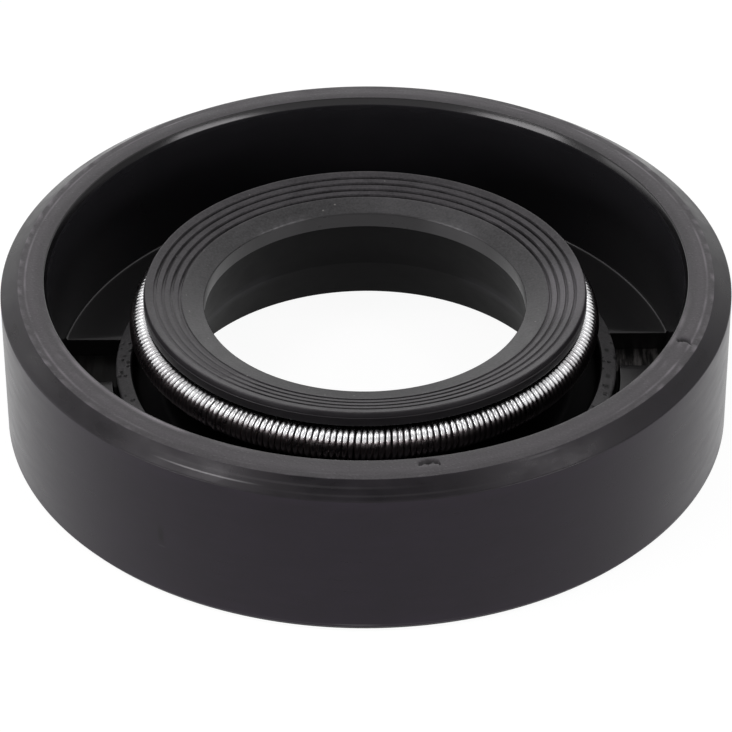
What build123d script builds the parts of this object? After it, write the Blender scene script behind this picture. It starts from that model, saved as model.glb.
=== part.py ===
from build123d import *
import os

# Radial shaft seal for a 17 mm shaft in a 35 mm housing bore, 8 mm wide.
# A rubber body is moulded round an L-section steel insert, and a garter spring
# sits in a seat round the outside of the sealing lip.
# Millimetres. The origin is the centre of the flat air-side face, and +Z runs
# along the shaft towards the spring side.

# Sizes that meet the shaft and the housing
shaft_diameter = 17.0
housing_diameter = 35.0
seal_width = 8.0
lip_interference = 0.85

# Outer wall of the rubber body
wall_thickness = 2.18
rim_chamfer_radial = 0.85
rim_chamfer_axial = 0.6
rim_taper_radial = 0.14
rim_taper_axial = 0.42
rim_inner_round = 0.1
base_chamfer_radial = 0.2
base_chamfer_axial = 0.25

# Channel floor, and the collar that stands on its inner edge
floor_height = 2.0
floor_round = 0.2
collar_setback = 0.78
collar_width = 0.81
collar_inner_height = 2.94
collar_outer_height = 2.65
collar_round = 0.08
relief_width = 0.16
relief_slope = 0.03
relief_depth = 0.4

# Sealing lip
land_start = 5.42
land_length = 0.77
lip_bevel_width = 1.07
lip_face_start = 6.58
lip_face_width = 1.68
lip_face_end = 6.93
lip_edge_round = 0.08
lip_back_width = 0.18
lip_back_height = 6.37
air_cone_width = 1.0
air_cone_start = 2.5
mouth_flare = 1.05

# Membrane that carries the lip, and the trench outside it
membrane_thickness = 1.15
membrane_lean = 0.25
membrane_neck_height = 3.9
shoulder_setback = 0.13
shoulder_land = 0.05
shoulder_round = 0.1
trench_height = 1.6
trench_round = 0.35

# Fine rings in the top of the lip
ring_count = 4
ring_pitch = 0.393
ring_first = 0.04
ring_groove_width = 0.22
ring_groove_depth = 0.1
ring_cutter_lift = 0.05

# Garter spring, as the round envelope of its close-wound coil
coil_diameter = 1.5
spring_height = 5.28
spring_overlap = 0.18
seat_clearance = 0.03

# Steel insert
sheet_thickness = 0.6
bend_radius = 0.5
cover_outside = 0.85
cover_base = 0.4
cover_rim = 1.0
cover_bore_side = 0.52

# Pockets that the mould's supports leave in the channel floor
right_pocket_front = 0.43
right_pocket_length = 2.72
left_pocket_front = -0.73
left_pocket_length = 3.48
pocket_edge_round = 0.1

# Radii and heights that follow from the sizes above
outer_radius = housing_diameter / 2
wall_radius = outer_radius - wall_thickness
lip_radius = shaft_diameter / 2 - lip_interference
air_cone_radius = lip_radius + air_cone_width
mouth_radius = air_cone_radius + mouth_flare
lip_face_inner = lip_radius + lip_bevel_width
lip_face_outer = lip_face_inner + lip_face_width
lip_back_radius = lip_face_outer + lip_back_width
coil_radius = coil_diameter / 2
seat_radius = coil_radius + seat_clearance
spring_ring_radius = lip_back_radius - spring_overlap
shoulder_radius = spring_ring_radius - shoulder_setback
shoulder_height = spring_height - seat_radius - shoulder_land
membrane_radius = air_cone_radius + membrane_thickness
neck_radius = membrane_radius - membrane_lean
collar_inner_radius = lip_back_radius + collar_setback
collar_outer_radius = collar_inner_radius + collar_width
relief_foot_radius = collar_outer_radius + relief_width
relief_height = floor_height - relief_depth
insert_outer_radius = outer_radius - cover_outside
insert_bore_radius = insert_outer_radius - sheet_thickness
insert_inner_radius = collar_inner_radius - cover_bore_side
insert_face_height = cover_base + sheet_thickness
insert_rim_height = seal_width - cover_rim


def section(*corners):
    """Closed face in the radial plane, from corners given as
    (radius, height, rounding)."""
    points = [(radius, height) for radius, height, rounding in corners]
    rounds = [rounding for radius, height, rounding in corners]
    return make_face(FilletPolyline(*points, radius=rounds, close=True))


def disc(radius, height, size):
    """Round face in the radial plane."""
    return Pos(radius, height) * Circle(size)


def turn(face):
    """Solid that a face in the radial plane sweeps out round the axis."""
    return revolve(Plane.XZ * face, axis=Axis.Z)


def moulded_outline():
    """Outer wall, channel, collar, trench, membrane and lip, in that order."""
    return section(
        (mouth_radius, 0, 0),
        (outer_radius - base_chamfer_radial, 0, 0),
        (outer_radius, base_chamfer_axial, 0),
        (outer_radius, seal_width - rim_chamfer_axial, 0),
        (outer_radius - rim_chamfer_radial, seal_width, 0),
        (wall_radius + rim_taper_radial, seal_width, rim_inner_round),
        (wall_radius, seal_width - rim_taper_axial, 0),
        (wall_radius, floor_height, floor_round),
        (relief_foot_radius + relief_slope, floor_height, 0),
        (relief_foot_radius, relief_height, 0),
        (collar_outer_radius, relief_height, 0),
        (collar_outer_radius, collar_outer_height, collar_round),
        (collar_inner_radius, collar_inner_height, collar_round),
        (collar_inner_radius, trench_height, trench_round),
        (membrane_radius, trench_height, trench_round),
        (neck_radius, membrane_neck_height, 0),
        (shoulder_radius, shoulder_height, shoulder_round),
        (shoulder_radius, spring_height, 0),
        (lip_back_radius, spring_height, 0),
        (lip_back_radius, lip_back_height, 0),
        (lip_face_outer, lip_face_end, lip_edge_round),
        (lip_face_inner, lip_face_start, 0),
        (lip_radius, land_start + land_length, 0),
        (lip_radius, land_start, 0),
        (air_cone_radius, air_cone_start, 0),
    )


def insert_outline():
    """L section of the bent sheet: flange under the channel, cylinder in the wall."""
    return section(
        (insert_inner_radius, cover_base, 0),
        (insert_outer_radius, cover_base, bend_radius + sheet_thickness),
        (insert_outer_radius, insert_rim_height, 0),
        (insert_bore_radius, insert_rim_height, 0),
        (insert_bore_radius, insert_face_height, bend_radius),
        (insert_inner_radius, insert_face_height, 0),
    )


def lip_rings():
    """V-shaped cutters for the ring grooves in the sloping top of the lip."""
    slope = (lip_face_end - lip_face_start) / lip_face_width
    spread = ring_groove_width / 2 * (1 + ring_cutter_lift / ring_groove_depth)
    rings = Sketch()
    for index in range(ring_count):
        step_out = ring_first + index * ring_pitch
        radius = lip_face_inner + step_out
        height = lip_face_start + slope * step_out
        rings += section(
            (radius - spread, height + ring_cutter_lift, 0),
            (radius, height - ring_groove_depth, 0),
            (radius + spread, height + ring_cutter_lift, 0),
        )
    return rings


def pocket(side, front, length):
    """Cutter for one pocket: a straight slot across the channel floor, down to the
    steel, with its two long edges rounded. side is 1 on the +X side and -1 on the
    other, and front is the Y of its near wall."""
    middle = front + length / 2
    round_middle = length / 2 + pocket_edge_round
    with BuildSketch(Plane.YZ) as slot:
        with Locations((middle, floor_height)):
            Rectangle(2 * round_middle, pocket_edge_round, align=(Align.CENTER, Align.MAX))
        with Locations((middle, floor_height - pocket_edge_round)):
            with Locations((-round_middle, 0), (round_middle, 0)):
                Circle(pocket_edge_round, mode=Mode.SUBTRACT)
        with Locations((middle, floor_height)):
            slot_depth = floor_height - insert_face_height
            Rectangle(length, slot_depth, align=(Align.CENTER, Align.MAX))
            Rectangle(2 * round_middle, floor_round, align=(Align.CENTER, Align.MIN))
    channel = Cylinder(wall_radius, seal_width) - Cylinder(collar_outer_radius, seal_width)
    return extrude(slot.sketch, side * outer_radius) & channel


def rubber_body():
    """The moulding, hollow where the insert lies and open over it at each pocket."""
    seat = disc(spring_ring_radius, spring_height, seat_radius)
    body = turn(moulded_outline() - seat - lip_rings() - insert_outline())
    body -= pocket(1, right_pocket_front, right_pocket_length)
    body -= pocket(-1, left_pocket_front, left_pocket_length)
    return body


def steel_insert():
    return turn(insert_outline())


def garter_spring():
    return turn(disc(spring_ring_radius, spring_height, coil_radius))


os.makedirs("parts", exist_ok=True)
export_step(rubber_body(), "parts/rubber_body.step")
export_step(steel_insert(), "parts/steel_insert.step")
export_step(garter_spring(), "parts/garter_spring.step")
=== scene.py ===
import math

import bpy
import numpy as np
from mathutils import Matrix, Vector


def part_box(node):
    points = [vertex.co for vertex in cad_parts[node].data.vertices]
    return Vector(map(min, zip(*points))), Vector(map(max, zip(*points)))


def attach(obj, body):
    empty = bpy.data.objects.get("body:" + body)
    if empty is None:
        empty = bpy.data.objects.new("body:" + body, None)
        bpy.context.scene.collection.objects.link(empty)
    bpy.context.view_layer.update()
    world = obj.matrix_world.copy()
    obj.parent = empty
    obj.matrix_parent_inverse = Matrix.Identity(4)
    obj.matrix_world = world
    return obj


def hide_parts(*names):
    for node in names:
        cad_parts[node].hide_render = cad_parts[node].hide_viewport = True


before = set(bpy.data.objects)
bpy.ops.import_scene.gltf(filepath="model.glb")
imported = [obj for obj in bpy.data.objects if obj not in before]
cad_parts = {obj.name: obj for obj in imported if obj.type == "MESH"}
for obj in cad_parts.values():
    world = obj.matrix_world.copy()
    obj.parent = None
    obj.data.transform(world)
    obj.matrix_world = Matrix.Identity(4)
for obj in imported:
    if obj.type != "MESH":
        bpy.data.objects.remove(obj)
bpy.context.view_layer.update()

# A radial shaft seal: black rubber round a steel insert, with a wound garter
# spring on its lip. Lengths are in millimetres until a mesh or lamp is made.
# Angles round the ring are in degrees from +X, which is the right, so the front is
# at -90.
MM = 0.001
scene = bpy.context.scene


# ---------------------------------------------------------------- sizes

body_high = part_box("rubber_body")[1]
steel_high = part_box("steel_insert")[1]
coil_low, coil_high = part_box("garter_spring")

# The outside, with a small chamfer at the base and a larger one at the rim. A
# chamfer is its size along the radius and along the height.
OUTER = body_high.x / MM
WIDTH = body_high.z / MM
BASE_BORE = 9.70
BASE_CHAMFER = (0.2, 0.25)
RIM_CHAMFER = (0.88, 0.6)

# The rim's crown, and the taper from it into the channel.
CROWN_MIDDLE = 15.98
CROWN_HALF = 0.7
CROWN_DROP = 0.035
TAPER = 0.34
WALL = OUTER - 2.23

# The channel, the relief at its inner side, and the collar, whose two heights are
# at its outer and its inner edge.
WALL_FOOT = WALL - 0.11
FLOOR = 2.0
FOOT_ROUND = 0.1
RELIEF_OUT = 12.33
RELIEF = 1.6
COLLAR_OUT = 12.17
COLLAR_IN = 11.36
COLLAR_HEIGHTS = (2.70, 2.87)

# The pockets in the channel's floor. Each is its side, and the Y of its two edges.
POCKETS = ((1, 0.43, 3.15), (-1, -0.73, 2.75))
POCKET_ROUND = 0.1

# The steel insert, an L bent from one sheet.
SHEET = 0.6
BEND = 0.5
STEEL_IN = 10.84
STEEL_FOOT = 0.4
STEEL_FACE = STEEL_FOOT + SHEET
STEEL_OUT = steel_high.x / MM
STEEL_TOP = steel_high.z / MM

# The coil's radius, and the radius and the height of the ring that it follows.
COIL = (coil_high.z - coil_low.z) / MM / 2 + 0.085
COIL_Z = (coil_high.z + coil_low.z) / MM / 2 + 0.02
COIL_RING = coil_high.x / MM - COIL + 0.01
SEAT = COIL + 0.03

# The membrane and the lip. A pair is a radius and a height.
TRENCH_IN = 9.80
MEMBRANE = (9.55, 3.9)
LIP_BACK = 10.50
LIP_LOW, LIP_HIGH = (8.74, 6.51), (10.41, 6.955)
GROOVES = (9.955, 9.565, 9.17, 8.79)
GROOVE_HALF = 0.085
GROOVE_DEPTH = 0.13
BEVEL_TOP = (8.67, 6.50)
LAND = 7.65
LAND_HIGH, LAND_LOW = 6.19, 5.42
FLARE = (8.65, 2.5)

# How this moulding differs from a true one: the lip's oval, as shares of its size,
# and how far off centre the lip, channel, rim, chamfer's crest and spring are. The
# crest also bulges about two angles from 0 to 360, each given with its spread.
OVAL_WIDE = 0.0155
OVAL_SHORT = 0.018
LIP_SHIFT = (-0.045, 0.053)
CHANNEL_SHIFT = (0.065, 0.0)
RIM_SHIFT = (0.0, 0.13)
RIM_FRONT = 0.12
CREST_SHIFT = 0.045
CREST_OUT = 0.13
CREST_BULGES = ((333, 17), (218, 22))
SPRING_SHIFT = (-0.085, -0.09, -0.02)

# The middle of the nick that runs round the rim, and of the one across it, and how
# deep they are and how much painted shade darkens them.
ROUND_NICK = -79.8
CROSS_NICK = -21.9
NICK_DEPTH = 0.15
NICK_SHADE = 5.0

# Colours of the single marks on the rubber, pale for scuffs and painted highlights and dark for scuffs
# and pits, and of the dust.
PALE_SCUFF_AND_HIGHLIGHT = (0.2, 0.194, 0.2, 1)
DARK_MARK = (0.0, 0.0, 0.0, 1)
DUST = (0.16, 0.155, 0.15, 1)


# ---------------------------------------------------------------- camera

def aim_camera():
    """Camera in front of the seal and above it: it looks along the line from
    (0, -away cos upwards, away sin upwards) to a point above the middle of the base,
    and is tilted a little about that line."""
    upwards = math.radians(36.244)
    away = 192.721
    aim_height = 2.249
    tilt = math.radians(-0.235)
    place = np.array([0, -away * math.cos(upwards), away * math.sin(upwards)])
    ahead = np.array([0, 0, aim_height]) - place
    ahead /= np.linalg.norm(ahead)
    across = np.array([1.0, 0, 0])
    upward = np.cross(across, ahead)
    side = math.cos(tilt) * across + math.sin(tilt) * upward
    top = math.cos(tilt) * upward - math.sin(tilt) * across
    data = bpy.data.cameras.new("seal_camera")
    data.sensor_width = 36
    data.lens = 193.085
    data.shift_x = -0.00036
    data.shift_y = 0.00068
    data.clip_start = 0.01
    data.clip_end = 20
    camera = bpy.data.objects.new("seal_camera", data)
    turned = Matrix(np.column_stack([side, top, -ahead]).tolist()).to_4x4()
    camera.matrix_world = Matrix.Translation((place * MM).tolist()) @ turned
    scene.collection.objects.link(camera)
    scene.camera = camera


# ---------------------------------------------------------------- node helpers

def new_material(name):
    """Empty material: itself, its node tree and its output node."""
    material = bpy.data.materials.new(name)
    material.use_nodes = True
    material.node_tree.nodes.clear()
    output = material.node_tree.nodes.new("ShaderNodeOutputMaterial")
    return material, material.node_tree, output


def node(tree, kind, values=None, **settings):
    """One node, with its settings and the values of its sockets. A value that is an
    output socket is linked."""
    made = tree.nodes.new(kind)
    for key, value in settings.items():
        setattr(made, key, value)
    for key, value in (values or {}).items():
        if isinstance(value, bpy.types.NodeSocket):
            tree.links.new(value, made.inputs[key])
        else:
            made.inputs[key].default_value = value
    return made


def maths(tree, operation, first, second=0.0, third=0.0, clamp=False):
    """Output of one Math node."""
    values = {0: first, 1: second, 2: third}
    return node(tree, "ShaderNodeMath", values, operation=operation, use_clamp=clamp).outputs[0]


def vector_maths(tree, operation, values):
    """Output sockets of one Vector Math node."""
    return node(tree, "ShaderNodeVectorMath", values, operation=operation).outputs


def ramp(tree, value, low, high, to_low=0.0, to_high=1.0):
    """Smooth step from to_low to to_high while value goes from low to high."""
    values = {"Value": value, "From Min": low, "From Max": high, "To Min": to_low, "To Max": to_high}
    made = node(tree, "ShaderNodeMapRange", values, interpolation_type="SMOOTHSTEP")
    return made.outputs["Result"]


def mix_colour(tree, factor, first, second):
    """Colour between two colours, which are the node's sockets 6 and 7."""
    values = {0: factor, 6: first, 7: second}
    return node(tree, "ShaderNodeMix", values, data_type="RGBA").outputs[2]


def noise(tree, place, scale, detail, roughness=0.5):
    """Noise between 0 and 1, with about scale waves in one unit of the place, which
    is a metre on Object coordinates."""
    values = {"Vector": place, "Scale": scale, "Detail": detail, "Roughness": roughness}
    return node(tree, "ShaderNodeTexNoise", values).outputs[0]


def apart(tree, vector):
    """The three parts of a vector."""
    return node(tree, "ShaderNodeSeparateXYZ", {0: vector}).outputs


def relief(tree, strength, depth, height):
    """Normal of a surface with a relief on it, whose depth is in millimetres."""
    values = {"Strength": strength, "Distance": depth * MM, "Height": height}
    return node(tree, "ShaderNodeBump", values).outputs[0]


def seen_rays(tree):
    """1 for the rays of the camera, of reflections and of glass, and 0 for others."""
    rays = node(tree, "ShaderNodeLightPath").outputs
    seen = maths(tree, "ADD", rays["Is Camera Ray"], rays["Is Glossy Ray"])
    return maths(tree, "ADD", seen, rays["Is Transmission Ray"], clamp=True)


def group(name, inputs, outputs):
    """Empty node group. Its first input, Place, is a vector. Its other inputs, each
    (name, value), and its outputs are floats."""
    tree = bpy.data.node_groups.new(name, "ShaderNodeTree")
    tree.interface.new_socket("Place", in_out="INPUT", socket_type="NodeSocketVector")
    for label, value in inputs:
        socket = tree.interface.new_socket(label, in_out="INPUT", socket_type="NodeSocketFloat")
        socket.default_value = value
    for label in outputs:
        tree.interface.new_socket(label, in_out="OUTPUT", socket_type="NodeSocketFloat")
    return tree, tree.nodes.new("NodeGroupInput").outputs, tree.nodes.new("NodeGroupOutput").inputs


def place_group(tree, used, **values):
    """Outputs of a node group that is placed in a material with its own values, each
    named as its input is."""
    named = {key.capitalize(): value for key, value in values.items()}
    return node(tree, "ShaderNodeGroup", named, node_tree=used).outputs


# ---------------------------------------------------------------- effects

def streak_group():
    """Streaks that run round the axis. The noise is read at (x / r, y / r) times
    the number along, and at r times across plus z times up, so it has no seam."""
    tree, given, result = group(
        "turned_streaks", [("Along", 8.0), ("Across", 3000.0), ("Up", 3000.0), ("Detail", 3.0)],
        ["Streak"])
    xyz = apart(tree, given["Place"])
    flat = node(tree, "ShaderNodeCombineXYZ", {0: xyz[0], 1: xyz[1]}).outputs[0]
    radius = vector_maths(tree, "LENGTH", {0: flat})["Value"]
    unit = vector_maths(tree, "NORMALIZE", {0: flat})[0]
    round_it = vector_maths(tree, "SCALE", {0: unit, "Scale": given["Along"]})[0]
    outward = maths(tree, "MULTIPLY", radius, given["Across"])
    height = maths(tree, "MULTIPLY_ADD", xyz[2], given["Up"], outward)
    lift = node(tree, "ShaderNodeCombineXYZ", {2: height}).outputs[0]
    where = vector_maths(tree, "ADD", {0: round_it, 1: lift})[0]
    tree.links.new(noise(tree, where, 1.0, given["Detail"], 0.55), result["Streak"])
    return tree


def speck_group():
    """Scattered specks: round spots about the cells of a Voronoi pattern, kept
    where a random number of the cell is under the share wanted. A spot's radius is
    0.04 plus another random number times the size, in cells."""
    tree, given, result = group(
        "scattered_specks", [("Scale", 4000.0), ("Size", 0.25), ("Share", 0.1)], ["Speck"])
    cells = node(tree, "ShaderNodeTexVoronoi", {
        "Vector": given["Place"], "Scale": given["Scale"], "Randomness": 1.0}).outputs
    chance = node(tree, "ShaderNodeSeparateColor", {0: cells["Color"]}).outputs
    wanted = maths(tree, "LESS_THAN", chance[0], given["Share"])
    reach = maths(tree, "MULTIPLY_ADD", chance[1], given["Size"], 0.04)
    near = ramp(tree, maths(tree, "DIVIDE", cells["Distance"], reach), 1.0, 0.55)
    tree.links.new(maths(tree, "MULTIPLY", wanted, near), result["Speck"])
    return tree


def grain_group():
    """Fine moulded grain, and a broad mottle."""
    tree, given, result = group("rubber_grain", [("Scale", 9000.0)], ["Grain", "Mottle"])
    tree.links.new(noise(tree, given["Place"], given["Scale"], 2.0, 0.6), result["Grain"])
    tree.links.new(noise(tree, given["Place"], 420.0, 4.0, 0.6), result["Mottle"])
    return tree


def mark_group():
    """One soft mark on a turned face. It is the product of two smooth humps: one
    over the angle round the axis, as wide as Reach each way from Turn, and one over
    the height, as wide as Width each way from Height."""
    tree, given, result = group(
        "single_mark", [("Turn", 0.0), ("Reach", 0.1), ("Height", 0.0), ("Width", 0.001)], ["Mark"])
    xyz = apart(tree, given["Place"])
    turn = maths(tree, "ARCTAN2", xyz[1], xyz[0])
    round_it = maths(tree, "ABSOLUTE", maths(tree, "SUBTRACT", turn, given["Turn"]))
    upward = maths(tree, "ABSOLUTE", maths(tree, "SUBTRACT", xyz[2], given["Height"]))
    along = ramp(tree, maths(tree, "DIVIDE", round_it, given["Reach"]), 1.0, 0.2)
    across = ramp(tree, maths(tree, "DIVIDE", upward, given["Width"]), 1.0, 0.2)
    tree.links.new(maths(tree, "MULTIPLY", along, across), result["Mark"])
    return tree


STREAKS = streak_group()
MARK = mark_group()
SPECKS = speck_group()
GRAIN = grain_group()


# ---------------------------------------------------------------- rubber

def rubber(name, colour, specular, roughness, streaks=0.2, mottle=0.2, specks=0.0, bump=0.1,
           pitted=0.0, pit_scale=6500.0, grainy=0.0, tint=(1.0, 0.975, 1.0, 1), marks=()):
    """Black seal rubber. Its colour is scaled by a level: streaks times mottle, plus
    rubbed edges, the mark kept at each point, which is mostly painted light and shade,
    the pits and the grain. Single marks are painted over it, each (turn, reach, height,
    width, amount): its middle and half size round the ring in degrees, the same up the
    face in millimetres, and how pale it is, or how dark where that is below 0. Some
    pale ones are painted highlights. Dust specks come last. Streaks and rubbed edges
    also change the roughness."""
    material, tree, output = new_material(name)
    place = node(tree, "ShaderNodeTexCoord").outputs["Object"]
    streak = place_group(tree, STREAKS, place=place, along=9.0, across=3200.0, up=2900.0)[0]
    grain = place_group(tree, GRAIN, place=place, scale=8500.0)
    dust = place_group(tree, SPECKS, place=place, scale=5200.0, size=0.3, share=specks)[0]
    pits = place_group(tree, SPECKS, place=place, scale=pit_scale, size=0.5, share=0.6)[0]
    edge = node(tree, "ShaderNodeAttribute", attribute_name="edge").outputs["Fac"]
    # The mark attribute holds painted light and shade, with scuffs and the nicks' painted shade.
    mark = node(tree, "ShaderNodeAttribute", attribute_name="mark").outputs["Fac"]

    swing = maths(tree, "MULTIPLY_ADD", streak, 2 * streaks, 1 - streaks)
    blotch = maths(tree, "MULTIPLY_ADD", grain["Mottle"], 2 * mottle, 1 - mottle)
    rub = maths(tree, "MULTIPLY", edge, streak)
    level = maths(tree, "ADD", maths(tree, "MULTIPLY", swing, blotch), rub)
    level = maths(tree, "ADD", level, mark)
    level = maths(tree, "MULTIPLY_ADD", pits, pitted, level)
    level = maths(tree, "MULTIPLY_ADD", grain["Grain"], grainy, level)
    level = maths(tree, "MAXIMUM", maths(tree, "SUBTRACT", level, grainy / 2), 0.0)
    shade = vector_maths(tree, "SCALE", {0: colour, "Scale": level})[0]
    for turn, reach, height, width, amount in marks:
        single = place_group(tree, MARK, place=place, turn=math.radians(turn),
                             reach=math.radians(reach), height=height * MM, width=width * MM)[0]
        share = maths(tree, "MULTIPLY", single, abs(amount))
        shade = mix_colour(tree, share, shade, PALE_SCUFF_AND_HIGHLIGHT if amount > 0 else DARK_MARK)
    dusted = mix_colour(tree, dust, shade, DUST)

    rough = maths(tree, "MULTIPLY_ADD", streak, 0.7 * streaks, roughness - 0.35 * streaks)
    rough = maths(tree, "MULTIPLY_ADD", rub, 0.12, rough, clamp=True)
    height = maths(tree, "MULTIPLY_ADD", streak, 0.8, grain["Grain"])
    height = maths(tree, "MULTIPLY_ADD", pits, pitted * 2, height)
    shader = node(tree, "ShaderNodeBsdfPrincipled", {
        "Base Color": dusted, "Roughness": rough, "Normal": relief(tree, bump, 0.03, height),
        "Specular IOR Level": specular, "Specular Tint": tint})
    tree.links.new(shader.outputs[0], output.inputs["Surface"])
    return material


def body_looks():
    """Materials of the moulding, by the finish of its faces. The bore and the hidden faces are given
    painted shade.
    """
    looks = {}
    looks["wall"] = rubber(
        "moulded_rubber_wall", (0.0092, 0.0066, 0.0113), 0.255, 0.3, mottle=0.35, bump=0.05,
        tint=(1.0, 0.94, 1.0, 1),
        # Of the wall's marks, the pale lines at heights 0.33 and 0.36, along the base's rounded edge,
        # are painted highlights; the others are scuffs.
        marks=[(-122.4, 0.8, 3.5, 0.7, -0.8), (-122.3, 0.9, 2.85, 0.07, 0.06),
               (-91.5, 4.5, 0.36, 0.04, 0.4), (-91.0, 30.0, 0.36, 0.04, 0.1),
               (-32.0, 14.0, 0.33, 0.04, 0.3), (-34.0, 10.0, 0.5, 0.06, -0.9)])
    looks["foot"] = rubber(
        "moulded_rubber_base", (0.008, 0.0074, 0.0086), 0.08, 0.5, mottle=0.35, bump=0.05)
    looks["chamfer"] = rubber(
        "moulded_rubber_chamfer", (0.0042, 0.0034, 0.0047), 0.26, 0.3, streaks=0.6, mottle=0.7,
        bump=0.08, tint=(1.0, 0.95, 1.0, 1),
        # Of the chamfer's marks, the strong pale line at -115 is a painted highlight.
        marks=[(-115.0, 10.0, 7.62, 0.03, 0.9), (-103.0, 26.0, 7.76, 0.045, 0.07),
               (-88.0, 24.0, 7.55, 0.04, 0.05), (-61.5, 4.0, 7.92, 0.05, 0.2)])
    looks["rim"] = rubber(
        "trimmed_rubber_rim", (0.0195, 0.0178, 0.0195), 0.43, 0.4, streaks=0.6, mottle=0.45,
        pitted=0.5, grainy=2.5, bump=0.2, tint=(1.0, 0.945, 1.0, 1))
    looks["taper"] = rubber(
        "moulded_rubber_rim_taper", (0.004, 0.0038, 0.0042), 0.4, 0.17, streaks=0.1, bump=0.02)
    looks["channel"] = rubber(
        "moulded_rubber_channel", (0.0088, 0.0084, 0.0097), 0.16, 0.25, streaks=0.04,
        mottle=0.15, bump=0.006)
    looks["floor"] = rubber(
        "moulded_rubber_ledge", (0.0125, 0.0119, 0.0127), 0.5, 0.24, streaks=0.1, bump=0.03)
    looks["collar"] = rubber(
        "moulded_rubber_collar", (0.072, 0.0695, 0.0725), 0.4, 0.36, specks=0.1, mottle=0.8,
        bump=0.5, pitted=-1.1, pit_scale=3000.0, grainy=1.5,
        marks=[(2.6, 1.0, 2.79, 0.035, -1.0), (-7.9, 1.2, 2.78, 0.04, -1.0),
               (-11.9, 1.2, 2.765, 0.035, -1.0), (179.0, 0.6, 2.785, 0.03, -1.0),
               (-174.2, 0.9, 2.76, 0.025, -1.0), (-165.4, 0.7, 2.745, 0.02, -1.0)])
    looks["lip"] = rubber(
        "moulded_rubber_lip", (0.0265, 0.025, 0.0268), 0.32, 0.36, streaks=0.4, mottle=0.4,
        specks=0.014, grainy=2.2, bump=0.25, tint=(1.0, 0.945, 1.0, 1))
    looks["bevel"] = rubber(
        "moulded_rubber_bevel", (0.031, 0.030, 0.0314), 0.32, 0.36, streaks=0.35, mottle=0.4,
        specks=0.03, grainy=1.8, bump=0.2)
    looks["land"] = rubber("moulded_rubber_land", (0.02, 0.0193, 0.0203), 0.36, 0.3, streaks=0.2)
    looks["lip_back"] = rubber("moulded_rubber_lip_back", (0.021, 0.019, 0.0215), 0.3, 0.4)
    # The bore's and the hidden faces' dark colours and low gloss are painted shade.
    bore = rubber("moulded_rubber_bore_shaded", (0.0030, 0.0029, 0.0032), 0.03, 0.5, bump=0.05)
    deep = rubber("moulded_rubber_recess_shaded", (0.0045, 0.0043, 0.0047), 0.06, 0.55)
    looks.update({"cone": bore, "flare": bore, "relief": deep, "trench": deep, "seat": deep,
                  "cavity": deep})
    return looks


# ---------------------------------------------------------------- steel

def wire_steel():
    """Bright drawn wire with a darker, oily film in places. Below the top of the coil
    it is brownish with painted shade, which is darker on the right."""
    material, tree, output = new_material("drawn_spring_wire")
    place = node(tree, "ShaderNodeTexCoord").outputs["Object"]
    xyz = apart(tree, place)
    fine = noise(tree, place, 2500.0, 3.0)
    dull = ramp(tree, noise(tree, place, 700.0, 3.0), 0.35, 0.7)
    # Painted shade: below the top of the coil the wire turns brownish and rougher, and darker on the
    # right.
    painted_low_shade = ramp(tree, xyz[2], 5.87 * MM, 5.68 * MM)
    colour = mix_colour(tree, dull, (0.78, 0.78, 0.79, 1), (0.6, 0.59, 0.6, 1))
    right = ramp(tree, xyz[0], 2.0 * MM, 7.0 * MM)
    shade_brown = mix_colour(tree, right, (0.46, 0.405, 0.415, 1), (0.17, 0.148, 0.153, 1))
    colour = mix_colour(tree, painted_low_shade, colour, shade_brown)
    rough = maths(tree, "MULTIPLY_ADD", fine, 0.08, 0.11)
    rough = maths(tree, "MULTIPLY_ADD", dull, 0.06, rough)
    rough = maths(tree, "MULTIPLY_ADD", painted_low_shade, 0.12, rough)
    shader = node(tree, "ShaderNodeBsdfPrincipled", {
        "Base Color": colour, "Roughness": rough, "Normal": relief(tree, 0.02, 0.006, fine),
        "Metallic": 1.0})
    tree.links.new(shader.outputs[0], output.inputs["Surface"])
    return material


def coated_steel():
    """Drawn sheet under a thin brownish bonding coat, with streaks along Y that
    painted light makes lighter on the right."""
    material, tree, output = new_material("coated_insert_steel")
    place = node(tree, "ShaderNodeTexCoord").outputs["Object"]
    drawn_out = {"Vector": place, "Scale": (2300.0, 300.0, 700.0)}
    stretched = node(tree, "ShaderNodeMapping", drawn_out).outputs[0]
    lines = noise(tree, stretched, 1.0, 4.0, 0.65)
    # Painted light: the streaks turn lighter towards the right.
    right = ramp(tree, apart(tree, place)[0], -5.0 * MM, 5.0 * MM)
    right_lit_colour = mix_colour(tree, right, (0.026, 0.0245, 0.024, 1), (0.15, 0.14, 0.138, 1))
    streak = ramp(tree, lines, 0.47, 0.64)
    colour = mix_colour(tree, streak, (0.009, 0.0083, 0.008, 1), right_lit_colour)
    rough = maths(tree, "MULTIPLY_ADD", lines, 0.3, 0.28)
    shader = node(tree, "ShaderNodeBsdfPrincipled", {
        "Base Color": colour, "Roughness": rough, "Normal": relief(tree, 0.3, 0.01, lines),
        "Metallic": 0.7})
    tree.links.new(shader.outputs[0], output.inputs["Surface"])
    return material


# ---------------------------------------------------------------- curves and shares

def arc_points(before, corner, after, rounding, count):
    """Points of the arc that rounds a corner. It starts rounding / tan(half the
    corner's angle) along the line to the point before."""
    before, corner, after = np.array(before), np.array(corner), np.array(after)
    back = (before - corner) / np.linalg.norm(before - corner)
    on = (after - corner) / np.linalg.norm(after - corner)
    half = math.acos(float(np.clip(back @ on, -1, 1))) / 2
    middle = corner + (back + on) / np.linalg.norm(back + on) * rounding / math.sin(half)
    start = corner + back * rounding / math.tan(half) - middle
    end = corner + on * rounding / math.tan(half) - middle
    first = math.atan2(start[1], start[0])
    sweep = (math.atan2(end[1], end[0]) - first + math.pi) % (2 * math.pi) - math.pi
    angle = first + sweep * np.linspace(0, 1, count)
    return middle + rounding * np.column_stack([np.cos(angle), np.sin(angle)])


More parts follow.
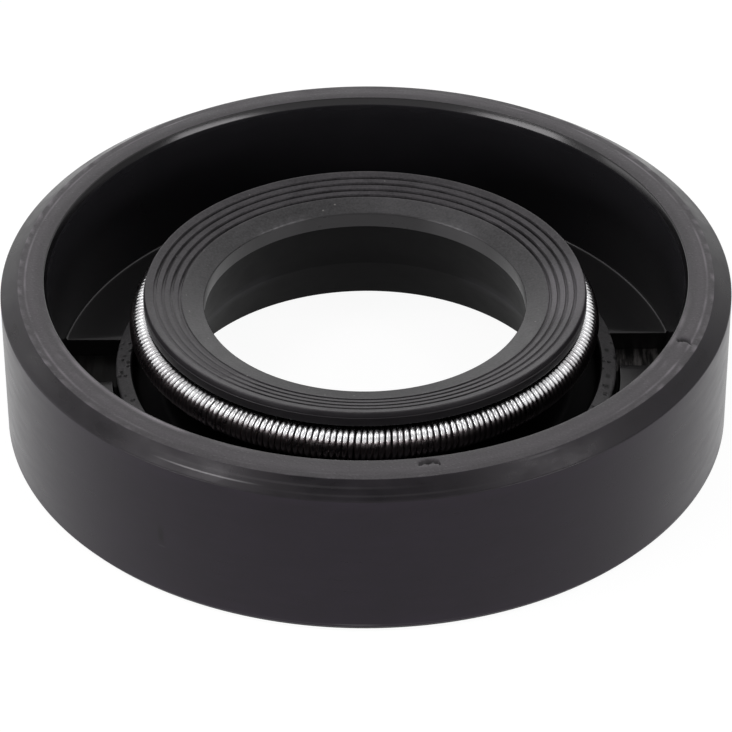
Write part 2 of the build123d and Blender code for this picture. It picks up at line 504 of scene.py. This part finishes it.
def trace(corners, longest, supported=True):
    """Closed outline as rows of (radius, height), with each row's corner number,
    how far it is along that corner's arc, and the finish that follows it. Each
    corner is (radius, height, rounding, finish). Straight runs are divided so that
    no step is over the longest, and supported ones have a row close to each end."""
    large_round, long_run, support = 0.2, 0.3, 0.05
    count = len(corners)
    arcs = []
    for index, (radius, height, rounding, finish) in enumerate(corners):
        before, after = corners[index - 1][:2], corners[(index + 1) % count][:2]
        if rounding:
            steps = 6 if rounding > large_round else 4
            arcs.append(arc_points(before, (radius, height), after, rounding, steps))
        else:
            arcs.append(np.array([[radius, height]]))
    rows, owner, along, finishes = [], [], [], []
    for index in range(count):
        arc, finish = arcs[index], corners[index][3]
        gap = arcs[(index + 1) % count][0] - arc[-1]
        length = np.linalg.norm(gap)
        parts = np.arange(1, math.ceil(length / longest)) / math.ceil(length / longest)
        if supported and length > long_run:
            ends = [support / length, 1 - support / length]
            parts = np.unique(np.round(np.concatenate([parts, ends]), 6))
        rows += [arc, arc[-1] + parts[:, None] * gap]
        owner += [index] * len(arc) + [-1] * len(parts)
        along += list(np.linspace(0, 1, len(arc)) if len(arc) > 1 else [0.5]) + [0.0] * len(parts)
        finishes += [finish] * (len(arc) + len(parts))
    return np.vstack(rows), np.array(owner), np.array(along), np.array(finishes)


def ripple(angle, lowest, highest, seed):
    """Smooth unevenness round the ring: cosines of whole numbers of waves, with
    fixed random phases and heights, whose mean square is 1."""
    waves = np.arange(lowest, highest + 1)
    chance = np.random.default_rng(seed)
    phase = chance.uniform(0, 2 * math.pi, waves.size)
    size = chance.normal(size=waves.size) / np.sqrt(waves)
    size /= math.sqrt((size ** 2).sum() / 2)
    flat = np.ravel(angle)
    total = (size[:, None] * np.cos(waves[:, None] * flat + phase[:, None])).sum(0)
    return total.reshape(np.shape(angle))


def rise(value, start, length):
    """Straight rise from 0 to 1, from the start on over the length."""
    return np.clip((value - start) / length, 0, 1)


def smooth(share):
    """A share from 0 to 1 with its two ends made soft: 3 s^2 - 2 s^3."""
    return share * share * (3 - 2 * share)


def hump(value, middle, spread):
    """Bell of height 1 about the middle: exp(-((value - middle) / spread)^2)."""
    return np.exp(-((value - middle) / spread) ** 2)


def window(turn, start, end, soft):
    """1 between two angles and 0 outside them, with a slope of soft degrees inside
    each."""
    return rise(turn, start, soft) * np.clip((end - turn) / soft, 0, 1)


def turn_from(theta):
    """Degrees round the ring, from -90 at the front to 270, of an angle in radians."""
    return (np.degrees(theta) + 90) % 360 - 90


def polar(points):
    """Radius, and degrees round the ring, of points."""
    x, y = points[..., 0], points[..., 1]
    return np.hypot(x, y), turn_from(np.arctan2(y, x))


# ---------------------------------------------------------------- outlines

def lip_height(radius):
    """Height of the lip's sloping top at a radius, between its ring grooves."""
    return LIP_LOW[1] + (radius - LIP_LOW[0]) * (LIP_HIGH[1] - LIP_LOW[1]) / (LIP_HIGH[0] - LIP_LOW[0])


def crown_corners():
    """The rim's crown from outside to inside: a parabola that is down by CROWN_DROP
    at CROWN_HALF from its middle."""
    shares = (0.6, 0.53, 0.48, 0.44, 0.4, 0.34, 0.22, 0.08, -0.08, -0.24, -0.4, -0.52, -0.62, -0.7)
    return [(CROWN_MIDDLE + CROWN_HALF * share, WIDTH - CROWN_DROP * share ** 2, 0, "rim")
            for share in shares]


def groove_corners():
    """The lip's ring grooves from outside to inside, each a shallow hollow below the
    sloping top: flat over its middle fifth, and rounded up to the slope each side."""
    steps = np.array([1, 0.86, 0.55, 0.2, -0.2, -0.55, -0.86, -1])
    dips = GROOVE_DEPTH * np.array([0, 0.25, 0.8, 1, 1, 0.8, 0.25, 0])
    corners = []
    for middle in GROOVES:
        radii = middle + GROOVE_HALF * steps
        corners += [(r, z, 0, "lip") for r, z in zip(radii, lip_height(radii) - dips)]
    return corners


def seat_corners():
    """The spring's seat, an arc a little larger than the coil."""
    turns = np.radians(np.linspace(260.4, 113.0, 12))
    return [(COIL_RING + SEAT * math.cos(turn), COIL_Z + SEAT * math.sin(turn), 0, "seat")
            for turn in turns]


def seal_outline():
    """Corners of the moulded section, each (radius, height, rounding, finish), from
    the inner edge of the base, round the wall and channel to the lip, and back down
    the air side."""
    return [
        (BASE_BORE, 0, 0.12, "foot"),
        (OUTER - BASE_CHAMFER[0], 0, 0.06, "foot"),
        (OUTER, BASE_CHAMFER[1], 0.1, "wall"),
        (OUTER, WIDTH - RIM_CHAMFER[1], 0.08, "chamfer"),
        (OUTER - RIM_CHAMFER[0], WIDTH - 0.012, 0.06, "rim"),
        *crown_corners(),
        (WALL + 0.15, WIDTH - 0.02, 0.08, "taper"),
        (WALL, WIDTH - TAPER, 0.12, "channel"),
        (WALL_FOOT, FLOOR, FOOT_ROUND, "floor"),
        (RELIEF_OUT + 0.03, FLOOR, 0.03, "relief"),
        (RELIEF_OUT, RELIEF, 0.03, "relief"),
        (COLLAR_OUT, RELIEF, 0.04, "relief"),
        (COLLAR_OUT, COLLAR_HEIGHTS[0], 0.1, "collar"),
        (COLLAR_IN, COLLAR_HEIGHTS[1], 0.1, "trench"),
        (COLLAR_IN, RELIEF, 0.35, "trench"),
        (TRENCH_IN, RELIEF, 0.35, "trench"),
        (*MEMBRANE, 0.3, "trench"),
        (COIL_RING - 0.13, 4.40, 0.05, "seat"),
        *seat_corners(),
        (LIP_BACK, 6.23, 0.03, "lip_back"),
        (LIP_BACK + 0.005, 6.66, 0, "lip_back"),
        (LIP_BACK - 0.02, 6.675, 0, "lip_back"),
        (*LIP_HIGH, 0.05, "lip"),
        *groove_corners(),
        (*BEVEL_TOP, 0, "bevel"),
        (LAND, LAND_HIGH, 0.05, "land"),
        (LAND, LAND_LOW, 0.05, "cone"),
        (*FLARE, 0.1, "flare"),
    ]


def cavity_outline(floor_radii):
    """Corners of the room that the insert fills, inside out, with the radii that
    the pockets' floors have on its upper face."""
    upright = STEEL_OUT - SHEET
    return [
        (STEEL_IN, STEEL_FOOT, 0, "cavity"),
        (STEEL_IN, STEEL_FACE, 0, "cavity"),
        *[(radius, STEEL_FACE, 0, "cavity") for radius in floor_radii[::-1]],
        (upright, STEEL_FACE, BEND, "cavity"),
        (upright, STEEL_TOP, 0, "cavity"),
        (STEEL_OUT, STEEL_TOP, 0, "cavity"),
        (STEEL_OUT, STEEL_FOOT, BEND + SHEET, "cavity"),
    ]


# ---------------------------------------------------------------- meshes

def quads(rows, columns):
    """Corner numbers of the faces of a grid closed both ways, and each face's row
    and column."""
    row, column = np.meshgrid(np.arange(rows), np.arange(columns), indexing="ij")
    on, over = (row + 1) % rows, (column + 1) % columns
    corner = np.stack([row * columns + column, row * columns + over,
                       on * columns + over, on * columns + column], -1)
    return corner.reshape(-1, 4), row.ravel(), column.ravel()


def make_mesh(name, points, faces, looks, finishes=None, values=None, sharp=None):
    """Mesh object from points in millimetres. Points in one place, to five digits,
    are merged, and faces that shrink to a line are left out. A quad that loses one
    corner becomes a triangle. values are numbers kept at each point, and edges over
    the sharp angle in degrees aren't smoothed."""
    kept, first, merged = np.unique(
        np.round(points, 5), axis=0, return_index=True, return_inverse=True)
    faces = merged.ravel()[faces]
    real = faces != np.roll(faces, -1, axis=1)
    number = real.sum(1)
    whole, three = faces[number == 4], faces[number == 3][real[number == 3]].reshape(-1, 3)
    mesh = bpy.data.meshes.new(name)
    mesh.from_pydata((kept * MM).tolist(), [], whole.tolist() + three.tolist())
    for look in looks:
        mesh.materials.append(look)
    if finishes is not None:
        order = np.concatenate([finishes[number == 4], finishes[number == 3]])
        mesh.polygons.foreach_set("material_index", order.astype(np.int32))
    for key, value in (values or {}).items():
        attribute = mesh.attributes.new(key, "FLOAT", "POINT")
        attribute.data.foreach_set("value", value.ravel()[first].astype(np.float32))
    mesh.shade_smooth()
    if sharp:
        mesh.set_sharp_from_angle(angle=math.radians(sharp))
    mesh.validate()
    made = bpy.data.objects.new(name, mesh)
    scene.collection.objects.link(made)
    return made


def ring_points(radius, theta, height):
    """Points at radii, angles in radians and heights."""
    radius, theta, height = np.broadcast_arrays(radius, theta, height)
    return np.stack([radius * np.cos(theta), radius * np.sin(theta), height], -1)


# ---------------------------------------------------------------- unevenness, painted light and scuffs

def uneven(points):
    """Points of the section moved to where this moulding has them. The free lip is
    a little wide across, short front to back and off centre, by shares that fade
    out down the membrane. The channel's foot and the rim's inner edge have centres
    of their own, with a steady change between them, and the rim's inner edge has
    more at the front. The chamfer's crest is off centre too, and bulges outwards
    about two angles."""
    radius, turn = polar(points)
    x, y, height = points[..., 0], points[..., 1], points[..., 2]
    taper_foot = WIDTH - TAPER
    free = smooth(rise(height, 3.2, 2.4)) * (radius < 11.3)
    near = rise(radius, 12.6, 1.0) * np.clip((16.4 - radius) / 0.9, 0, 1) * (height > 1.7)
    low = 1 - rise(height, FLOOR, taper_foot - FLOOR)
    top = rise(height, 4.5, taper_foot - 4.5)
    front = np.clip(-y / np.maximum(radius, 1), 0, 1) ** 2
    crest = rise(radius, 16.0, 0.5) * rise(height, WIDTH - 0.45, 0.4)
    bulge = sum(hump(turn % 360, middle, spread) for middle, spread in CREST_BULGES)
    out = CREST_OUT * crest * bulge / np.maximum(radius, 1)
    across = free * LIP_SHIFT[0] + near * (low * CHANNEL_SHIFT[0] + top * RIM_SHIFT[0])
    along = free * LIP_SHIFT[1] + near * (
        low * CHANNEL_SHIFT[1] + top * (RIM_SHIFT[1] + RIM_FRONT * front))
    return np.stack([x * (1 + OVAL_WIDE * free) + across + out * x,
                     y * (1 - OVAL_SHORT * free) + along + out * y + crest * CREST_SHIFT,
                     height], -1)


def nicks(points):
    """Share of the full cut at each point, for two small nicks in the rim's top. A
    nick is an arched line with a soft cross-section: one runs round the rim near its
    inner edge and has a pit at its middle, and the other runs across the rim."""
    radius, turn = polar(points)
    half_length, arch = 1.8, 0.24
    part = (turn - ROUND_NICK) / half_length
    round_it = hump(radius, 15.52 + arch * part ** 2, 0.075) * (np.abs(part) < 1)
    pit = hump(radius, 15.57, 0.12) * hump(part, 0, 0.3)
    inner_end, length, bow = 15.65, 0.85, 1.1
    share = (radius - inner_end) / length
    off = np.radians(turn - CROSS_NICK + bow * (2 * share - 1) ** 2) * radius
    across = hump(off, 0, 0.085) * np.clip(5 * share, 0, 1) * np.clip(5 - 5 * share, 0, 1)
    deepest = np.maximum(np.maximum(round_it, pit), across)
    return (points[..., 2] > WIDTH - 0.1) * np.clip(deepest, 0, 1)


def groove_share(turn):
    """Share of the full depth that the lip's ring grooves have round the lip: less
    on the left and right, and more at the rear."""
    left = -0.72 * window(turn, 168, 240, 14)
    right = -0.45 * window(turn, -64, 10, 20)
    rear = 0.4 * window(turn, 15, 146, 20)
    return 1 + left + right + rear


def painted_light_and_scuffs(rows, finish, angle, turn):
    """How much lighter each point is than its plain finish, which is mostly painted light
    and shade. The rim has painted highlights at its middle, on a ridge and outside it,
    and along its inner edge, and a pale thin scuff; the lip has a painted highlight at
    its right end. At the rear the land, the bevel's lower edge and the flare's edge have
    painted highlights, and the bevel is lighter. The lip's ring grooves are darker with
    painted shade."""
    radius, height = rows[:, :1], rows[:, 1:]
    rim, lip, land, bevel = ((finish == key)[:, None] for key in ("rim", "lip", "land", "bevel"))
    patchy = np.clip(0.75 + 0.45 * ripple(angle, 4, 70, 11), 0.1, 1.8)[None]
    fine = np.clip(0.3 + 0.8 * ripple(angle, 50, 160, 12), 0, 2)[None]

    def part(start, end, soft):
        """Smooth share of 1 between two angles."""
        return smooth(window(turn, start, end, soft))

    # The rim's painted highlights are stronger at the left and right.
    sides = 0.25 + part(-50, 70, 15) + part(118, 236, 15)
    middle = rim * hump(radius, 16.05, 0.2)
    ridge = rim * hump(radius, 16.3, 0.045) * patchy * sides
    outside = rim * rise(radius, 16.42, 0.1) * fine * sides
    inner = rim * hump(radius, 15.55, 0.075) * (
        patchy * (part(190, 255, 15) + part(-45, -5, 15)) + 1.1 * part(204, 242, 10))
    scuff = rim * hump(radius, 15.95, 0.07) * fine * (part(196, 236, 14) + part(-42, -12, 12))
    groove_shade = lip * rise(lip_height(radius), height, GROOVE_DEPTH) * groove_share(turn)
    bevel_edge_highlight = hump(radius, LAND + 0.03, 0.05) * hump(height, LAND_HIGH, 0.04)
    bevel_edge_highlight = bevel_edge_highlight * (0.4 + 0.6 * fine) * (part(44, 68, 8) + part(108, 136, 8))
    flare_edge_highlight = hump(radius, FLARE[0], 0.1) * hump(height, FLARE[1], 0.12)
    flare_edge_highlight = flare_edge_highlight * (part(22, 60, 12) + part(118, 158, 12))
    lit_lip = lip * part(-20, 20, 16)
    land_highlight = land * (part(36, 72, 12) + 0.5 * part(110, 134, 10))
    lighter_bevel = bevel * part(38, 100, 20)
    return (0.9 * middle + 3.6 * ridge + 2.2 * outside + 4.0 * inner + 1.3 * scuff - 0.95 * groove_shade
            + 3.0 * bevel_edge_highlight + 9.0 * flare_edge_highlight + 2.0 * lit_lip + 1.2 * land_highlight
            + 0.7 * lighter_bevel)


# ---------------------------------------------------------------- body

FINISHES = ["foot", "wall", "chamfer", "rim", "taper", "channel", "floor", "relief", "collar",
            "trench", "seat", "lip_back", "lip", "bevel", "land", "cone", "flare", "cavity"]


def pocket_columns(side, front, back):
    """Angles of one pocket's columns at the channel's wall, the drop of its rounded
    edges at each, and whether the column is inside it. The edges are straight lines
    of one Y, and each is two columns in one place, one of them inside."""
    steps = 16
    bend = np.linspace(0, math.pi / 2, 5)
    lead, drop = POCKET_ROUND * (np.sin(bend) - 1), POCKET_ROUND * (1 - np.cos(bend))
    y = np.concatenate([front + lead, np.linspace(front, back, steps), back - lead[::-1]])
    fall = np.concatenate([drop, np.zeros(steps), drop[::-1]])
    inside = np.concatenate([np.zeros(bend.size), np.ones(steps), np.zeros(bend.size)])
    angle = np.arcsin(y / WALL_FOOT)
    if side < 0:
        angle, fall, inside = math.pi - angle[::-1], fall[::-1], inside[::-1]
    return angle, fall, inside


def seal_columns():
    """Angles of all the grid's columns at the channel's wall, the drop at each, and
    whether it is inside a pocket. Between the pockets they are 1.5 degrees apart,
    and 0.3 about the nicks."""
    usual = np.radians(np.arange(-180, 180, 1.5))
    about = np.arange(-3.4, 2.01, 0.3)
    spread = np.concatenate([usual, np.radians(ROUND_NICK + about), np.radians(CROSS_NICK + about)])
    pockets = [pocket_columns(*pocket) for pocket in POCKETS]
    clear = 0.012
    free = np.ones(spread.size, bool)
    for angle, _, _ in pockets:
        for turn in (-2 * math.pi, 0, 2 * math.pi):
            place = spread + turn
            free &= (place < angle[0] - clear) | (place > angle[-1] + clear)
    spread = np.unique(np.round(spread[free], 5))
    plain = (spread, np.zeros(spread.size), np.zeros(spread.size))
    angle, drop, inside = (np.concatenate(parts) for parts in zip(*pockets, plain))
    angle = (angle + math.pi / 2) % (2 * math.pi) - math.pi / 2
    order = np.argsort(angle, kind="stable")
    return angle[order], drop[order], inside[order] > 0.5


def column_angle(angle, radius):
    """Angle of each column at each radius. Up to 20 degrees from the X axis, where
    the pockets are, a column keeps its Y while the radius is between the collar and
    the wall. From 55 degrees on it keeps its angle, with a smooth change between."""
    side = np.where(np.cos(angle) >= 0, 1.0, -1.0)
    local = np.arcsin(np.clip(np.sin(angle), -1, 1))
    weight = smooth(np.clip((math.radians(55) - np.abs(local)) / math.radians(35), 0, 1))
    y = np.clip(WALL_FOOT * np.sin(local), -5.2, 5.2)
    inner = np.clip(radius, COLLAR_OUT, WALL_FOOT)
    return angle + side * weight * (np.arcsin(y / inner) - np.arcsin(y / WALL_FOOT))


def pocket_rows(corners, rows, owner, along):
    """The outline inside a pocket, where the channel's floor goes down to the steel
    between the wall and the collar. Also how far each row outside a pocket takes
    part in the drop of its edges, and the numbers of the rows on the steel."""
    places = [corner[:2] for corner in corners]
    near_wall = owner == places.index((WALL_FOOT, FLOOR))
    near_collar = owner == places.index((COLLAR_OUT, RELIEF))
    index = np.arange(len(rows))
    first, last = index[near_wall][0], index[near_collar][-1]
    between = (index > first) & (index < last)
    deep = rows.copy()
    deep[between, 1] = STEEL_FACE
    deep[near_wall, 0] = WALL_FOOT
    deep[near_wall, 1] = rows[first, 1] + (STEEL_FACE - rows[first, 1]) * along[near_wall]
    deep[near_collar, 0] = COLLAR_OUT
    deep[near_collar, 1] = STEEL_FACE + (rows[last, 1] - STEEL_FACE) * along[near_collar]
    sunk = np.where(near_wall, along, between & ~near_collar)[:, None]
    on_steel = index[(deep[:, 1] == STEEL_FACE) & (index >= first) & (index <= last)]
    return deep, sunk, on_steel


def edge_nearness(rows, owner, finish):
    """How near each row is to a rounded edge: exp(-(distance / 0.06)^2) of the
    distance along the outline."""
    path = np.concatenate([[0], np.cumsum(np.linalg.norm(np.diff(rows, axis=0), axis=1))])
    worn = np.isin(finish, ["wall", "chamfer", "rim", "channel", "collar", "lip"])
    gap = np.abs(path[:, None] - path[(owner >= 0) & worn][None]).min(1)
    return hump(gap, 0, 0.06)[:, None]


def rubber_body(looks):
    """Moulded body. Its outline is carried round the axis on a grid whose columns
    follow the pockets' straight edges. Inside a pocket the rows of the channel's
    floor go down to the steel. The room for the insert is a second grid with the
    same columns, open over the pockets, and joined to the first one there."""
    corners = seal_outline()
    rows, owner, along, finish = trace(corners, longest=0.7)
    angle, drop, inside = seal_columns()
    deep, sunk, on_steel = pocket_rows(corners, rows, owner, along)
    radius = np.where(inside, deep[:, :1], rows[:, :1])
    height = np.where(inside, deep[:, 1:], rows[:, 1:])
    lowered = np.minimum(height, FLOOR + FOOT_ROUND * (1 - sunk) - drop * sunk)
    height = np.where((sunk > 0) & ~inside, lowered, height)
    theta = column_angle(angle, radius)
    turn = turn_from(theta)
    skin = uneven(ring_points(radius, theta, height))
    nick = nicks(skin)
    dip = np.clip(lip_height(rows[:, :1]) - rows[:, 1:], 0, 0.2) * (finish == "lip")[:, None]
    dip = dip * ((rows[:, :1] > LIP_LOW[0]) & (rows[:, :1] < LIP_HIGH[0] - 0.1))
    skin[..., 2] += dip * (1 - groove_share(turn)) - NICK_DEPTH * nick

    corners = cavity_outline(deep[on_steel, 0].tolist())
    hollow = trace(corners, longest=3.0, supported=False)[0]
    room = ring_points(hollow[:, :1], column_angle(angle, hollow[:, :1]), hollow[:, 1:])

    # A face is open where both of its rows are on the steel in both of its columns.
    inside_face = inside & np.roll(inside, -1)
    face, row, column = quads(len(rows), angle.size)
    kept = ~(np.isin(row, on_steel[:-1]) & inside_face[column])
    hollow_face, hollow_row, hollow_column = quads(len(hollow), angle.size)
    touch = 1e-6
    open_rows = (np.abs(hollow[:, 1] - STEEL_FACE) < touch) & (hollow[:, 0] < WALL_FOOT + touch)
    open_rows &= hollow[:, 0] > deep[on_steel[-1], 0] - touch
    open_rows &= np.roll(open_rows, -1)
    hollow_kept = ~(open_rows[hollow_row] & inside_face[hollow_column])
    faces = np.vstack([face[kept], hollow_face[hollow_kept] + radius.size])
    code = np.array([FINISHES.index(key) for key in finish])
    finishes = np.concatenate(
        [code[row[kept]], np.full(hollow_kept.sum(), FINISHES.index("cavity"))])

    plain = np.zeros(room.shape[:2])
    edge = np.repeat(edge_nearness(rows, owner, finish), angle.size, 1)
    # The mark holds painted light and shade with scuffs, less the painted shade in the nicks.
    mark = painted_light_and_scuffs(rows, finish, angle, turn) - NICK_SHADE * nick
    return make_mesh(
        "seal_rubber_body", np.vstack([skin, room]).reshape(-1, 3), faces,
        [looks[key] for key in FINISHES], finishes,
        {"edge": np.vstack([edge, plain]), "mark": np.vstack([mark, plain])}, sharp=40)


# ---------------------------------------------------------------- spring

def wound_spring(look):
    """Garter spring: a helix of close turns carried round a ring. A point of the
    wire is the ring's point, plus the coil's radius turned by the winding angle,
    plus the wire's own radius in the plane across the wire. The coil's radius varies
    a little, and every second turn stands out or in where the two ends meet."""
    turns, per_turn, sides = 243, 24, 10
    wire = 0.118
    count = turns * per_turn
    round_ring = 2 * math.pi * np.arange(count) / count
    around = round_ring + 0.0012 * ripple(round_ring, 20, 90, 4)
    winding = turns * round_ring
    joint = 0.05 * hump(round_ring, math.radians(230), 0.025) * np.cos(winding * 0.5)
    coil = COIL - wire - 0.006 - 0.004 * np.clip(ripple(round_ring, 30, 120, 5), -1.5, 1.5) + joint
    line = ring_points(COIL_RING + coil * np.cos(winding), around, COIL_Z + coil * np.sin(winding))
    ahead = np.roll(line, -1, axis=0) - np.roll(line, 1, axis=0)
    ahead /= np.linalg.norm(ahead, axis=1)[:, None]
    out = ring_points(np.cos(winding), around, np.sin(winding))
    out -= (out * ahead).sum(1)[:, None] * ahead
    out /= np.linalg.norm(out, axis=1)[:, None]
    across = np.cross(ahead, out)
    round_wire = 2 * math.pi * np.arange(sides) / sides
    points = (line[:, None] + wire * np.cos(round_wire)[None, :, None] * out[:, None]
              + wire * np.sin(round_wire)[None, :, None] * across[:, None])
    points = points * np.array([1 + OVAL_WIDE, 1 - OVAL_SHORT + 0.002, 1]) + np.array(SPRING_SHIFT)
    faces = quads(count, sides)[0][:, ::-1]
    return make_mesh("wound_garter_spring", points.reshape(-1, 3), faces, [look])


# ---------------------------------------------------------------- studio

def studio_floor():
    """Pale floor, clear from below. What the camera and reflections see of it is
    near white, and the object's shadow falls on its matt part."""
    material, tree, output = new_material("pale_floor")
    strength = maths(tree, "MULTIPLY", seen_rays(tree), 0.93)
    glow = node(tree, "ShaderNodeEmission", {"Color": (1, 1, 1, 1), "Strength": strength})
    matt = node(tree, "ShaderNodeBsdfDiffuse", {"Color": (0.14, 0.14, 0.14, 1)})
    both = node(tree, "ShaderNodeAddShader", {0: glow.outputs[0], 1: matt.outputs[0]})
    under = node(tree, "ShaderNodeNewGeometry").outputs["Backfacing"]
    clear = node(tree, "ShaderNodeBsdfTransparent")
    shown = node(tree, "ShaderNodeMixShader", {0: under, 1: both.outputs[0], 2: clear.outputs[0]})
    tree.links.new(shown.outputs[0], output.inputs["Surface"])
    mesh = bpy.data.meshes.new("studio_floor")
    reach, level = 3000 * MM, -0.01 * MM
    mesh.from_pydata([(-reach, -reach, level), (reach, -reach, level),
                      (reach, reach, level), (-reach, reach, level)], [], [(0, 1, 2, 3)])
    mesh.materials.append(material)
    floor = bpy.data.objects.new("studio_floor", mesh)
    scene.collection.objects.link(floor)


def studio_world():
    """Plain world that lights the scene at 0.35. The camera and reflections see it
    near white, dimmer straight up and low on the right."""
    world = bpy.data.worlds.new("studio")
    world.use_nodes = True
    tree = world.node_tree
    tree.nodes.clear()
    seen = seen_rays(tree)
    toward = apart(tree, node(tree, "ShaderNodeTexCoord").outputs["Generated"])
    shown = ramp(tree, toward[2], 0.75, 1.0, 0.95, 0.5)
    low_right = maths(tree, "MULTIPLY", ramp(tree, toward[0], 0.6, 0.9),
                      ramp(tree, toward[2], 0.55, 0.25))
    shown = maths(tree, "MULTIPLY", shown, maths(tree, "MULTIPLY_ADD", low_right, -0.55, 1.0))
    plain = maths(tree, "SUBTRACT", 1.0, seen)
    strength = maths(tree, "MULTIPLY_ADD", plain, 0.35, maths(tree, "MULTIPLY", seen, shown))
    back = node(tree, "ShaderNodeBackground", {"Color": (1, 1, 1, 1), "Strength": strength})
    output = node(tree, "ShaderNodeOutputWorld")
    tree.links.new(back.outputs[0], output.inputs["Surface"])
    scene.world = world


def soft_lamp(name, place, width, height, radiance):
    """Rectangular lamp aimed at the middle of the seal. Its power is radiance times
    pi times its area."""
    data = bpy.data.lights.new(name, "AREA")
    data.shape = "RECTANGLE"
    data.size, data.size_y = width * MM, height * MM
    data.energy = radiance * math.pi * width * height * MM * MM
    lamp = bpy.data.objects.new(name, data)
    place, target = np.array(place, float), np.array([0, 0, 5.0])
    back = (place - target) / np.linalg.norm(place - target)
    side = np.cross([0, 0, 1.0], back)
    side /= np.linalg.norm(side)
    turned = Matrix(np.column_stack([side, np.cross(back, side), back]).tolist()).to_4x4()
    lamp.matrix_world = Matrix.Translation((place * MM).tolist()) @ turned
    lamp.visible_camera = False
    scene.collection.objects.link(lamp)


# ---------------------------------------------------------------- making

scene.view_settings.view_transform = "Standard"
aim_camera()
studio_floor()
studio_world()
soft_lamp("left_softbox", (-320, -210, 85), 210, 130, 7.5)
soft_lamp("left_side_softbox", (-380, 124, 122), 260, 150, 1.7)
soft_lamp("right_softbox", (315, -222, 78), 200, 120, 7.5)
soft_lamp("left_high_softbox", (-204, -29, 343), 150, 130, 4.2)
soft_lamp("right_high_softbox", (204, -29, 343), 130, 120, 3.0)
soft_lamp("rear_softbox", (-60, 420, 150), 560, 160, 1.0)

body = rubber_body(body_looks())
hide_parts("rubber_body")
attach(body, "root")

spring = wound_spring(wire_steel())
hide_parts("garter_spring")
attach(spring, "root")

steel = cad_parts["steel_insert"]
steel.data.materials.clear()
steel.data.materials.append(coated_steel())
